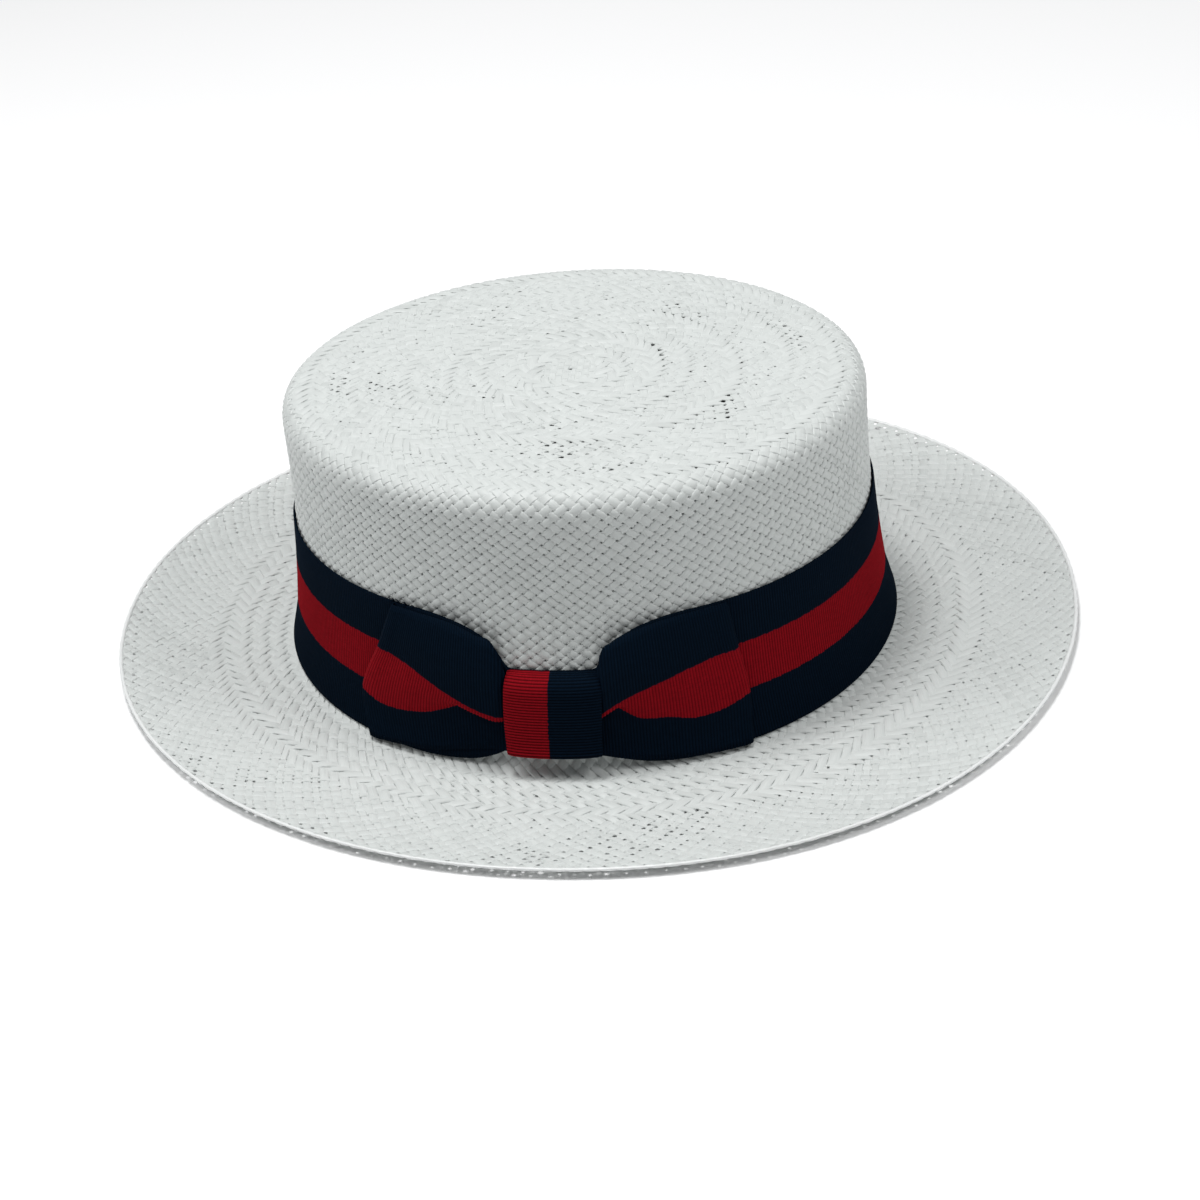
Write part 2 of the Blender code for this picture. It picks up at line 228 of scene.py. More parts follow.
def woven_round(first, rows, count, seed, form=SMOOTH, passed=0, holes=0.10, hemmed=0, grows=0):
    """The strands of both families over one round of the weave, as strand_tubes gives them.

    rows has one letter for each half row: A where the first family passes over, B where the second does. Strand i of
    the first family lies at u = i and strand j of the second at v = j, where u + v is the walk in half rows from half
    row first and u - v, by half the number of strands, is the turn round the hat. Where two strands cross, one is
    lifted by the form's relief and the other is sunk by it, and halfway between it dips by the form's share of the way
    down. At the corners between four plain crossings the edges draw back and leave a hole: its width is holes by the
    least, plus the growth by a draw between 0 and 1, plus the draw's fourth power, plus the patch's growth by the draw
    and by how far the patch is past its start. passed is how many half rows of the same round an earlier piece has,
    and hemmed is a half row whose corners all have a hole. grows is how many half rows the relief takes to grow from
    half to full.
    """
    rng = np.random.default_rng(seed)
    phase = rng.uniform(0, 2 * math.pi)
    edges = []
    for family in range(2):
        widths = 1 + WIDTH_SPREAD * np.clip(rng.standard_normal(count), -2, 2)
        edges.append(np.concatenate([[0], np.cumsum(widths)]) * count / widths.sum())
    patch_seed = rng.integers(1000)
    rng = np.random.default_rng(seed + passed)
    over_first = np.array([letter == "A" for letter in rows])
    changes = np.concatenate([[0, 0], over_first[1:] != over_first[:-1], [0, 0]]).astype(float)
    plain = np.concatenate([changes[:-1] * changes[1:], [0, 0]])
    sums = passed + np.arange(-1, len(rows) + 3)[None, :]
    corner = np.arange(count)[:, None]
    turn = math.pi / count * (2 * corner - sums) + phase
    dense = patches(turn, (first + sums) * HALF_ROW, np.random.default_rng(patch_seed), PATCH_LENGTH)
    draw = rng.random((count, len(rows) + 4))
    loose = PATCH_GROWTH * np.clip(dense - PATCH_START, 0, 0.5)
    size = holes * (HOLE_LEAST + HOLE_GROWTH * draw + draw**4 + loose * draw) * plain
    if hemmed:
        size[:, hemmed : hemmed + 2] += HEM_HOLE

    def edge(family, at):
        return edges[family][at % count] + count * (at // count)

    def hole(first_at, second_at):
        return size[first_at % count, np.clip(first_at + second_at - passed + 1, 0, len(rows) + 3)] / 2

    strand = np.arange(count)[:, None]
    row = passed + np.arange(len(rows))[None, :]
    tubes = []
    for family in (0, 1):
        other = 1 - family
        crossing = row - strand
        over = over_first if family == 0 else ~over_first
        level = np.where(over, 1.0, -1.0) * (1 + HEIGHT_SPREAD * rng.standard_normal((count, len(rows))))
        if grows:
            level = level * np.clip(0.5 + 0.5 * np.arange(len(rows)) / grows, 0, 1)
        along = np.empty((count, 2 * len(rows) + 3))
        height = np.empty_like(along)
        along[:, 2:-1:2] = (edge(other, crossing) + edge(other, crossing + 1)) / 2
        height[:, 2:-1:2] = level
        ends = passed + np.arange(len(rows) + 1)[None, :] - strand
        along[:, 1:-1:2] = edge(other, ends)
        padded = np.concatenate([np.full((count, 1), -1.0), level, np.full((count, 1), -1.0)], axis=1)
        height[:, 1:-1:2] = (padded[:, :-1] + padded[:, 1:]) / 2 - form.dip * np.abs(padded[:, 1:] - padded[:, :-1])
        along[:, 0] = along[:, 1] - END_REACH
        along[:, -1] = along[:, -2] + END_REACH
        height[:, 0] = -1.0
        height[:, -1] = -1.0
        near = np.broadcast_to(edge(family, strand), along.shape) - form.lap
        far = np.broadcast_to(edge(family, strand + 1), along.shape) + form.lap
        near, far = near.copy(), far.copy()
        near[:, 1:-1:2] += form.lap + (hole(strand, ends) if family == 0 else hole(ends, strand))
        far[:, 1:-1:2] -= form.lap + (hole(strand + 1, ends) if family == 0 else hole(ends, strand + 1))
        middle = (near + far) / 2
        across = middle[..., None] + np.array(form.across) * (far - near)[..., None]
        straight = along[..., None]
        turn = math.pi / count * (across - straight if family == 0 else straight - across) + phase
        walk = np.maximum((first + across + straight) * HALF_ROW, 1e-4)
        over_rim = walk - (BRIM_START + BRIM_WALK - RIM_INSIDE)
        walk = walk - RIM_SQUEEZE * np.maximum(over_rim, 0)
        up = height[..., None] * form.relief + np.array(form.up) * form.thickness
        tubes.append(strand_tubes(straw_point(turn, walk, up), rng.random(count), family == 0, form.across))
    return tubes


# Pressed strands keep their edges crisp where these turn by more than this
CRISP_EDGE = math.radians(40)


def piece_from(name, tubes, finish, node, attribute="strand", crisp=False):
    """One smooth mesh object from corners, quads and looks, riding on the hat's body, in the place of a CAD node."""
    points = np.concatenate([tube[0] for tube in tubes])
    starts = np.cumsum([0] + [len(tube[0]) for tube in tubes[:-1]])
    quads = np.concatenate([tube[1] + start for tube, start in zip(tubes, starts)])
    looks = np.concatenate([tube[2] for tube in tubes])
    mesh = bpy.data.meshes.new(name)
    mesh.vertices.add(len(points))
    mesh.vertices.foreach_set("co", points.astype(np.float32).ravel())
    mesh.loops.add(quads.size)
    mesh.loops.foreach_set("vertex_index", quads.astype(np.int32).ravel())
    mesh.polygons.add(len(quads))
    mesh.polygons.foreach_set("loop_start", np.arange(0, quads.size, 4, dtype=np.int32))
    mesh.attributes.new(attribute, "FLOAT_VECTOR", "POINT").data.foreach_set("vector", looks.astype(np.float32).ravel())
    mesh.update(calc_edges=True)
    mesh.validate()
    mesh.shade_smooth()
    if crisp:
        mesh.set_sharp_from_angle(angle=CRISP_EDGE)
    mesh.materials.append(finish)
    made = bpy.data.objects.new(name, mesh)
    bpy.context.scene.collection.objects.link(made)
    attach(made, "root")
    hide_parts(node)
    return made


def linear(hex_colour):
    """Linear red, green, blue and alpha from an sRGB hex colour."""
    parts = [int(hex_colour[i : i + 2], 16) / 255 for i in (1, 3, 5)]
    return (*(p / 12.92 if p <= 0.04045 else ((p + 0.055) / 1.055) ** 2.4 for p in parts), 1.0)


def add_node(tree, kind, settings=None, **links):
    """A node of that kind: settings are its properties, and links are values or outputs for its inputs by name."""
    made = tree.nodes.new(kind)
    for key, value in (settings or {}).items():
        setattr(made, key, value)
    for key, value in links.items():
        wanted = key.replace("_", " ")
        socket = made.inputs[int(wanted)] if wanted.isdigit() else made.inputs[wanted]
        if isinstance(value, bpy.types.NodeSocket):
            tree.links.new(value, socket)
        else:
            socket.default_value = value
    return made


def new_finish(name):
    """An empty node material and its Principled shader."""
    made = bpy.data.materials.new(name)
    made.use_nodes = True
    return made, made.node_tree, made.node_tree.nodes["Principled BSDF"]


# Bleached palm straw, sized white: a chalky white with a soft sheen, fine fibres along each strand, and strands that
# differ a little in tone
sized_straw, tree, shader = new_finish("white_sized_straw")
place = add_node(tree, "ShaderNodeAttribute", {"attribute_name": "strand"})
split = add_node(tree, "ShaderNodeSeparateXYZ", Vector=place.outputs["Vector"])
# Fibres are about 0.15 mm wide and 6 mm long
stretched = add_node(tree, "ShaderNodeVectorMath", {"operation": "MULTIPLY"}, **{"0": place.outputs["Vector"]})
stretched.inputs[1].default_value = (0.16, 9.0, 61.0)
fibres = add_node(tree, "ShaderNodeTexNoise", Vector=stretched.outputs["Vector"], Scale=1.0, Detail=3.0, Roughness=0.6)
tones = add_node(tree, "ShaderNodeValToRGB", Fac=split.outputs["Z"])
# About one strand in eight is greyer than the rest
tones.color_ramp.elements[0].color = linear("#C8CCCA")
tones.color_ramp.elements[1].color = linear("#D1D5D3")
tones.color_ramp.elements.new(0.12).color = linear("#CDD1CF")
streak = add_node(
    tree, "ShaderNodeMapRange", Value=fibres.outputs["Fac"], From_Min=0.3, From_Max=0.7, To_Min=0.93, To_Max=1.03
)
colour = add_node(tree, "ShaderNodeVectorMath", {"operation": "SCALE"}, **{"0": tones.outputs["Color"]})
tree.links.new(streak.outputs["Result"], colour.inputs["Scale"])
tree.links.new(colour.outputs["Vector"], shader.inputs["Base Color"])
relief = add_node(tree, "ShaderNodeBump", Height=fibres.outputs["Fac"], Strength=0.25, Distance=0.0001)
tree.links.new(relief.outputs["Normal"], shader.inputs["Normal"])
gloss = add_node(
    tree, "ShaderNodeMapRange", Value=fibres.outputs["Fac"], From_Min=0.3, From_Max=0.7, To_Min=0.38, To_Max=0.54
)
tree.links.new(gloss.outputs["Result"], shader.inputs["Roughness"])
shader.inputs["Specular IOR Level"].default_value = 0.35

# The middle of the tip: a small square of plain weave that the first rounds grow from. Its strands nearly touch, they
# sink under the first round past the reach, in pitches from the centre, and the two middle strands of each family draw
# back a little at the very centre, by a different amount in each.
BUTTON_PITCH = 0.0021
BUTTON_STRANDS = 8
BUTTON_FULLNESS = 1.04
BUTTON_REACH = 3.4
BUTTON_SINK = 1.6
CENTRE_GAP = (0.00045, 0.00080)


def button():
    """Two crossed rows of straight strands, lifted and sunk in turn, on the tip's dome: strand i lies at i pitches from
    the centre, and crosses the others at each pitch."""
    tubes = []
    rng = np.random.default_rng(5)
    places = (np.arange(BUTTON_STRANDS) - (BUTTON_STRANDS - 1) / 2)[:, None]
    stations = np.linspace(-BUTTON_STRANDS / 2, BUTTON_STRANDS / 2, 2 * BUTTON_STRANDS + 1)[None, :]
    top = straw_middle(np.zeros(1), np.zeros(1))[0, 2]
    for family in (0, 1):
        height = np.cos(math.pi * (stations - places + family))
        reach = np.hypot(np.broadcast_to(places, height.shape), np.broadcast_to(stations, height.shape))
        height = height - np.clip(reach - BUTTON_REACH, 0, 1) * BUTTON_SINK
        across = (places[..., None] + np.array(SMOOTH.across) * BUTTON_FULLNESS) * BUTTON_PITCH
        along = np.broadcast_to(stations[..., None] * BUTTON_PITCH, (*height.shape, len(SMOOTH.across)))
        beside_centre = np.clip(1 - np.abs(across) / BUTTON_PITCH * 3, 0, 1) * np.exp(-(stations[..., None] ** 2) * 2)
        across = across + np.sign(places)[..., None] * CENTRE_GAP[family] * beside_centre
        up = top + height[..., None] * SMOOTH.relief + np.array(SMOOTH.up) * SMOOTH.thickness
        x, y = (along, across) if family == 0 else (across, along)
        points = np.stack([x, y, up], axis=-1)
        tubes.append(strand_tubes(points, rng.random(BUTTON_STRANDS), family == 1, SMOOTH.across))
    return tubes


# Each round of the weave: the half row where it starts, its half rows, and the strands in each family. A round opens
# with strands of the second family on top and closes with the first, so that it tucks under its neighbours there.
TIP_ROUNDS = (
    (3.4, "BBAA", 15),
    (7.4, "BBABA", 26),
    (12.4, "BBABA", 43),
    (17.4, "BBABABA", 59),
    (24.4, "BBABABABA", 82),
    (33.4, "BBABABA", 108),
)
TIP_SEED = 20
# How wide the holes are in each part of the hat, as shares of a strand's width: most are about half of this, and the
# largest in a loose patch three times it
TIP_HOLES = 0.20
EDGE_HOLES = 0.10
SIDE_HOLES = 0.05
INNER_HOLES = 0.10
OUTER_HOLES = 0.16
tip = button()
for order, (first, rows, count) in enumerate(TIP_ROUNDS):
    tip += woven_round(first, rows, count, TIP_SEED + order, holes=TIP_HOLES)
tip_first, tip_rows, _ = TIP_ROUNDS[-1]

# The crown's largest round starts on the tip, runs over the shoulder and down the side, and ends at the foot. It is
# one weave in four pieces, so all of them draw their strands from the same seed.
CROWN_SEED = 41
wall_first = tip_first + len(tip_rows)
EDGE_ROWS = "BBABA"
WALL_ROWS = "BA" * 11
SIDE_ROWS = "BA" * 6
LOW_ROWS = "BA" * 5 + "A"
WALL_STRANDS = 132
tip += woven_round(wall_first, EDGE_ROWS, WALL_STRANDS, CROWN_SEED, PRESSED, holes=EDGE_HOLES)
piece_from("straw_tip", tip, sized_straw, "straw_body", crisp=True)
passed = len(EDGE_ROWS)
wall = woven_round(wall_first, WALL_ROWS, WALL_STRANDS, CROWN_SEED, PILLOW, passed, holes=SIDE_HOLES, grows=5)
piece_from("straw_crown_wall", wall, sized_straw, "straw_body")
passed += len(WALL_ROWS)
side = woven_round(wall_first, SIDE_ROWS, WALL_STRANDS, CROWN_SEED, PILLOW, passed, holes=SIDE_HOLES)
piece_from("straw_crown_side", side, sized_straw, "straw_body")
passed += len(SIDE_ROWS)
low = woven_round(wall_first, LOW_ROWS, WALL_STRANDS, CROWN_SEED, COVERED, passed)
piece_from("straw_crown_foot", low, sized_straw, "straw_body")

# The brim has an inner round of looser weave, and an outer one of plain weave that ends in the hem
brim_first = wall_first + passed + len(LOW_ROWS)
BRIM_ROWS = "BBA" * 5 + "A"
BRIM_STRANDS = 156
INNER_SEED = 43
OUTER_SEED = 44
inner = woven_round(brim_first, BRIM_ROWS, BRIM_STRANDS, INNER_SEED, HOOKED, holes=INNER_HOLES)
piece_from("straw_brim_inner", inner, sized_straw, "straw_body", crisp=True)
outer_first = brim_first + len(BRIM_ROWS)
OUTER_ROWS = ("BBA" + "BA" * 8 + "A")[: math.ceil((BRIM_START + BRIM_WALK) / HALF_ROW - outer_first)]
OUTER_STRANDS = 200
hem_row = len(OUTER_ROWS) - 2
outer = woven_round(
    outer_first, OUTER_ROWS, OUTER_STRANDS, OUTER_SEED, PRESSED, holes=OUTER_HOLES, hemmed=hem_row
)
piece_from("straw_brim_outer", outer, sized_straw, "straw_body", crisp=True)

# Folded rim
# At the rim the strands turn over and are worked back, which leaves a thin bead of small scallops, made bright by a
# painted highlight in its finish. Each wrap slants a little, is thinner at its two ends than in its middle, and is
# pressed a little flat.
RIM_WRAPS = 210
RIM_STEPS = 8
RIM_BEAD = 0.00080
RIM_CORNERS = 8
RIM_SLANT = 0.9
RIM_THINNEST = 0.66
RIM_SMALLEST_WRAP = 0.55
RIM_FLATNESS = 0.85


def rim_bead():
    """A closed ring of slanting wraps just inside the rim's oval: a tube whose radius rises from the thinnest share of
    the bead's to the whole of it by a flattened half sine over each wrap, and the wraps run slanting round the tube."""
    count = RIM_WRAPS * RIM_STEPS
    turn = np.arange(count) * 2 * math.pi / count
    around = np.arange(RIM_CORNERS) * 2 * math.pi / RIM_CORNERS
    wrap = np.arange(count)[:, None] / RIM_STEPS + RIM_SLANT * np.cos(around)
    rng = np.random.default_rng(6)
    sizes = rng.uniform(RIM_SMALLEST_WRAP, 1.0, RIM_WRAPS)[np.floor(wrap).astype(int) % RIM_WRAPS]
    swollen = sizes * np.sin(math.pi * (wrap % 1)) ** 0.6
    reach = RIM_BEAD * (RIM_THINNEST + (1 - RIM_THINNEST) * swollen)
    walk = np.full(count, BRIM_START + BRIM_WALK)
    step = 0.0005
    centre = straw_middle(turn, walk)
    outward = centre - straw_middle(turn, walk - step)
    outward /= np.linalg.norm(outward, axis=1, keepdims=True)
    centre = centre - outward * RIM_BEAD
    points = centre[:, None] + outward[:, None] * (reach * np.cos(around))[..., None]
    points[..., 2] += reach * RIM_FLATNESS * np.sin(around)
    index = np.arange(count * RIM_CORNERS).reshape(-1, RIM_CORNERS)
    ahead = np.roll(index, -1, axis=0)
    quads = np.stack([index, ahead, np.roll(ahead, -1, 1), np.roll(index, -1, 1)], axis=-1).reshape(-1, 4)
    looks = np.empty(points.shape)
    looks[..., 0] = around * 3
    looks[..., 1] = wrap % 1
    looks[..., 2] = sizes
    return [(points.reshape(-1, 3), quads, looks.reshape(-1, 3))]


# The rim's strands have a lower roughness and more specular than the rest, and lighter tones that paint a highlight on
# them
RIM_HIGHLIGHT_TONES = ("#DDE0DF", "#E6E9E8", "#ECEEED")
highlit_rim_straw = sized_straw.copy()
highlit_rim_straw.name = "rim_straw_painted_highlight"
for node in highlit_rim_straw.node_tree.nodes:
    if node.type == "VALTORGB":
        for element, tone in zip(node.color_ramp.elements, RIM_HIGHLIGHT_TONES):
            element.color = linear(tone)
highlit_rim_shader = highlit_rim_straw.node_tree.nodes["Principled BSDF"]
highlit_rim_straw.node_tree.links.remove(highlit_rim_shader.inputs["Roughness"].links[0])
highlit_rim_shader.inputs["Roughness"].default_value = 0.28
highlit_rim_shader.inputs["Specular IOR Level"].default_value = 0.6
piece_from("straw_rim", rim_bead(), highlit_rim_straw, "straw_body")

# Ribbon band
# A striped grosgrain ribbon, navy with a dark red middle third, sewn round the foot of the crown. Its ribs are thick
# wefts that run straight across it, and it is pinched in where the bow's knot holds it.
RIBBON_WIDTH = 0.0483
RIBBON_THICKNESS = 0.00050
RIBBON_EDGE_SHARE = 0.45
RIB_PITCH = 0.00095
RIB_RELIEF = 0.00010
STEPS_PER_RIB = 4
BAND_BOTTOM = 0.0026
BAND_TOP = BAND_BOTTOM + RIBBON_WIDTH
FLARE_HEIGHT = 0.0120
BAND_OUT = 0.00045
KNOT_PLACE = -0.0030
KNOT_WIDTH = 0.0276
KNOT_BOTTOM = 0.0088
KNOT_TOP = 0.0347
PINCH_BOTTOM = 0.0090
PINCH_TOP = 0.0350


def ribbon_point(angles, z, stand_off):
    """Points at a height and a stand-off from the crown, as ribbon lies on it: the crown's oval for that height, drawn
    in by the waist and flared out by a square curve over the round foot."""
    share = (z - STRAW) / (CROWN_HEIGHT - STRAW)
    drop = STRAW + FOOT_RADIUS - BAND_BOTTOM
    flare = FOOT_RADIUS - math.sqrt(FOOT_RADIUS**2 - drop**2)
    out = flare * np.clip(1 - (z - BAND_BOTTOM) / FLARE_HEIGHT, 0, 1) ** 2
    out = out - WAIST * np.sin(math.pi * np.clip(share, 0, 1)) + stand_off
    length = FOOT_LENGTH + (TIP_LENGTH - FOOT_LENGTH) * share + 2 * out
    width = FOOT_WIDTH + (TIP_WIDTH - FOOT_WIDTH) * share + 2 * out
    x, y = oval(length, width, 2.0, CROWN_SWELL, angles)
    return np.stack([x, y, np.broadcast_to(z, x.shape)], axis=-1)


walk_angles = np.linspace(-1.5 * math.pi, 0.5 * math.pi, 2881)
walk_points = ribbon_point(walk_angles, (BAND_BOTTOM + BAND_TOP) / 2, BAND_OUT)
walk_places = np.concatenate([[0], np.cumsum(np.linalg.norm(np.diff(walk_points, axis=0), axis=1))])
walk_places -= np.interp(-math.pi / 2, walk_angles, walk_places)


def angle_at(place):
    """The oval's angle at a place: metres along the band from the middle of the -Y side, positive towards +X."""
    return np.interp(place, walk_places, walk_angles)


def through(values, places, at):
    """A smooth curve through values at rising places, worked out at other places: cubic pieces whose slopes are those
    of the line between the two neighbours."""
    places = np.asarray(places, dtype=float)
    values = np.asarray(values, dtype=float)
    shape = (-1,) + (1,) * (values.ndim - 1)
    slopes = np.gradient(values, places, axis=0)
    piece = np.clip(np.searchsorted(places, at, side="right") - 1, 0, len(places) - 2)
    span = (places[piece + 1] - places[piece]).reshape(shape)
    s = ((at - places[piece]).reshape(shape)) / span
    start, end = values[piece], values[piece + 1]
    rise = (2 * s**3 - 3 * s**2 + 1) * start + (3 * s**2 - 2 * s**3) * end
    return rise + ((s**3 - 2 * s**2 + s) * slopes[piece] + (s**3 - s**2) * slopes[piece + 1]) * span


def ribbon_sheet(middle, across, groove_shade_tone, flip=False, closed=False):
    """Corners, quads and looks of a ribbon from the points of its middle face, middle[along, across]. groove_shade_tone
    is how light the painted shade in the grooves between its ribs leaves them, from 0 to 1.

    Its two faces lie half a thickness to either side along the normal, and the edge share of that at the edges, and
    both are moved by the ribs: the rib relief by a cosine, one wave for each rib.
    """
    if closed:
        ahead = np.roll(middle, -1, axis=0) - np.roll(middle, 1, axis=0)
    else:
        ahead = np.gradient(middle, axis=0)
    normal = np.cross(ahead, np.gradient(middle, axis=1))
    normal /= np.linalg.norm(normal, axis=-1, keepdims=True)
    if flip:
        normal = -normal
    count, rows = middle.shape[:2]
    ripple = RIB_RELIEF * np.cos(2 * math.pi * np.arange(count) / STEPS_PER_RIB)[:, None, None]
    half = np.full(rows, RIBBON_THICKNESS / 2)
    half[[0, -1]] *= RIBBON_EDGE_SHARE
    half = half[None, :, None]
    points = np.stack([middle + normal * (half + ripple), middle - normal * (half - ripple)])
    index = np.arange(2 * count * rows).reshape(2, count, rows)
    after = np.roll(index, -1, axis=1) if closed else index[:, 1:]
    here = index if closed else index[:, :-1]
    front = np.stack([here[0, :, :-1], after[0, :, :-1], after[0, :, 1:], here[0, :, 1:]], axis=-1)
    rear = np.stack([here[1, :, :-1], here[1, :, 1:], after[1, :, 1:], after[1, :, :-1]], axis=-1)
    low = np.stack([here[0, :, 0], here[1, :, 0], after[1, :, 0], after[0, :, 0]], axis=-1)
    high = np.stack([here[0, :, -1], after[0, :, -1], after[1, :, -1], here[1, :, -1]], axis=-1)
    quads = [front.reshape(-1, 4), rear.reshape(-1, 4), low, high]
    if not closed:
        first, last = index[:, 0], index[:, -1]
        quads.append(np.stack([first[0, :-1], first[0, 1:], first[1, 1:], first[1, :-1]], axis=-1))
        quads.append(np.stack([last[0, :-1], last[1, :-1], last[1, 1:], last[0, 1:]], axis=-1))
    quads = np.concatenate(quads)
    if flip:
        quads = quads[:, ::-1]
    looks = np.zeros(points.shape)
    looks[..., 0] = (np.arange(count) * RIB_PITCH / STEPS_PER_RIB * 1000)[:, None]
    looks[..., 1] = across
    looks[..., 2] = groove_shade_tone
    return points.reshape(-1, 3), quads, looks.reshape(-1, 3)


# Grosgrain: dull rayon and cotton with nearly no shine. Each rib's groove gets painted shade, darker than its back, and
# the stripe's borders step a little from rib to rib. Border and step are shares of the ribbon's width, from its middle.
NAVY = linear("#061422")
RED = linear("#8C0F1A")
STRIPE_BORDER = (0.166, 0.170)
STRIPE_STEP = 0.006
grosgrain, tree, shader = new_finish("striped_grosgrain")
place = add_node(tree, "ShaderNodeAttribute", {"attribute_name": "ribbon"})
split = add_node(tree, "ShaderNodeSeparateXYZ", Vector=place.outputs["Vector"])
offset = add_node(tree, "ShaderNodeMath", {"operation": "SUBTRACT"}, **{"0": split.outputs["Y"], "1": 0.5})
aside = add_node(tree, "ShaderNodeMath", {"operation": "ABSOLUTE"}, **{"0": offset.outputs["Value"]})
rib = add_node(tree, "ShaderNodeMath", {"operation": "DIVIDE"}, **{"0": split.outputs["X"], "1": RIB_PITCH * 1000})
whole_rib = add_node(tree, "ShaderNodeMath", {"operation": "ROUND"}, **{"0": rib.outputs["Value"]})
own = add_node(tree, "ShaderNodeTexWhiteNoise", {"noise_dimensions": "1D"}, W=whole_rib.outputs["Value"])
own_step = {"0": own.outputs["Value"], "1": STRIPE_STEP, "2": aside.outputs["Value"]}
stepped = add_node(tree, "ShaderNodeMath", {"operation": "MULTIPLY_ADD"}, **own_step)
stripe = add_node(
    tree, "ShaderNodeMapRange", Value=stepped.outputs["Value"], From_Min=STRIPE_BORDER[0], From_Max=STRIPE_BORDER[1]
)
stripe_colour = add_node(tree, "ShaderNodeMix", {"data_type": "RGBA"}, Factor=stripe.outputs["Result"])
stripe_colour.inputs["A"].default_value = RED
stripe_colour.inputs["B"].default_value = NAVY
off_middle = {"0": rib.outputs["Value"], "1": whole_rib.outputs["Value"]}
from_rib = add_node(tree, "ShaderNodeMath", {"operation": "SUBTRACT"}, **off_middle)
to_groove = add_node(tree, "ShaderNodeMath", {"operation": "ABSOLUTE"}, **{"0": from_rib.outputs["Value"]})
# Painted shade in the grooves between the ribs: full colour on a rib's back, darkening to the piece's groove shade tone
# in the groove
groove = add_node(
    tree, "ShaderNodeMapRange", Value=to_groove.outputs["Value"], From_Min=0.15, From_Max=0.5, To_Min=1.0
)
tree.links.new(split.outputs["Z"], groove.inputs["To Max"])
# Yarn: single wefts and warps vary in tone over about 2 mm along the ribbon and 0.3 mm across it
spun = add_node(tree, "ShaderNodeVectorMath", {"operation": "MULTIPLY"}, **{"0": place.outputs["Vector"]})
spun.inputs[1].default_value = (0.5, 150.0, 1.0)
yarn = add_node(tree, "ShaderNodeTexNoise", Vector=spun.outputs["Vector"], Scale=1.0, Detail=2.0)
uneven = add_node(
    tree, "ShaderNodeMapRange", Value=yarn.outputs["Fac"], From_Min=0.3, From_Max=0.7, To_Min=0.86, To_Max=1.14
)
# The stripe's dye colour is scaled by the painted groove shade and by the yarn's own uneven tone
both = {"0": groove.outputs["Result"], "1": uneven.outputs["Result"]}
depth = add_node(tree, "ShaderNodeMath", {"operation": "MULTIPLY"}, **both)
dye_and_groove_shade = add_node(tree, "ShaderNodeVectorMath", {"operation": "SCALE"}, **{"0": stripe_colour.outputs[2]})
tree.links.new(depth.outputs["Value"], dye_and_groove_shade.inputs["Scale"])
tree.links.new(dye_and_groove_shade.outputs["Vector"], shader.inputs["Base Color"])
weft = add_node(tree, "ShaderNodeBump", Height=yarn.outputs["Fac"], Strength=0.3, Distance=0.0001)
tree.links.new(weft.outputs["Normal"], shader.inputs["Normal"])
shader.inputs["Roughness"].default_value = 0.8
shader.inputs["Specular IOR Level"].default_value = 0.03

# The band's edges near the bow: metres from the knot's edge, and how far both edges are drawn in, 1 at the knot
BAND_DRAW_PLACES = (-0.0160, -0.0020, 0.0, 0.0034, 0.0069, 0.0118, 0.0206, 0.0304, 0.0390)
BAND_DRAW = (1.0, 1.0, 0.97, 0.66, 0.42, 0.24, 0.07, 0.0, 0.0)
# The band's points across it: one close to each edge for the selvedge, and three between them
SELVEDGE = 0.012
BAND_ACROSS = np.array([0.0, SELVEDGE, 0.25, 0.5, 0.75, 1 - SELVEDGE, 1.0])
# How light the painted shade leaves the grooves between the band's ribs
BAND_GROOVE_SHADE = 0.35


def drawn_in(place):
    """How far the ribbon is drawn in at a place, from its distance to the knot's nearer edge."""
    from_knot = np.abs(place - KNOT_PLACE) - KNOT_WIDTH / 2
    from_knot = np.clip(from_knot, BAND_DRAW_PLACES[0], BAND_DRAW_PLACES[-1])
    return np.clip(through(BAND_DRAW, BAND_DRAW_PLACES, from_knot), 0, 1)


def edges_at(place):
    """Heights of a ribbon's lower and upper edge at a place on the band."""
    draw = drawn_in(place)
    return BAND_BOTTOM + (PINCH_BOTTOM - BAND_BOTTOM) * draw, BAND_TOP + (PINCH_TOP - BAND_TOP) * draw


band_length = walk_places[-1] - walk_places[0]
band_steps = round(band_length / RIB_PITCH) * STEPS_PER_RIB
places = walk_places[0] + np.arange(band_steps) * band_length / band_steps
low, high = edges_at(places)
z = low[:, None] + (high - low)[:, None] * BAND_ACROSS
middle = ribbon_point(np.broadcast_to(angle_at(places)[:, None], z.shape), z, BAND_OUT)
tubes = [ribbon_sheet(middle, BAND_ACROSS, BAND_GROOVE_SHADE, closed=True)]
band = piece_from("ribbon_band_cloth", tubes, grosgrain, "ribbon_band", "ribbon")

# Bow loops
# The flat bow is one more length of the ribbon, folded into two loops and held down by the knot. Each front layer is
# gathered at the knot: its red stripe is folded away under the upper navy stripe there, and opens out to the loop's
# end.
LOOP_ROWS = 23
# How light the painted shade leaves the grooves between the loops' ribs
LOOP_GROOVE_SHADE = 0.45
BACK_LAYER_OUT = 0.00105
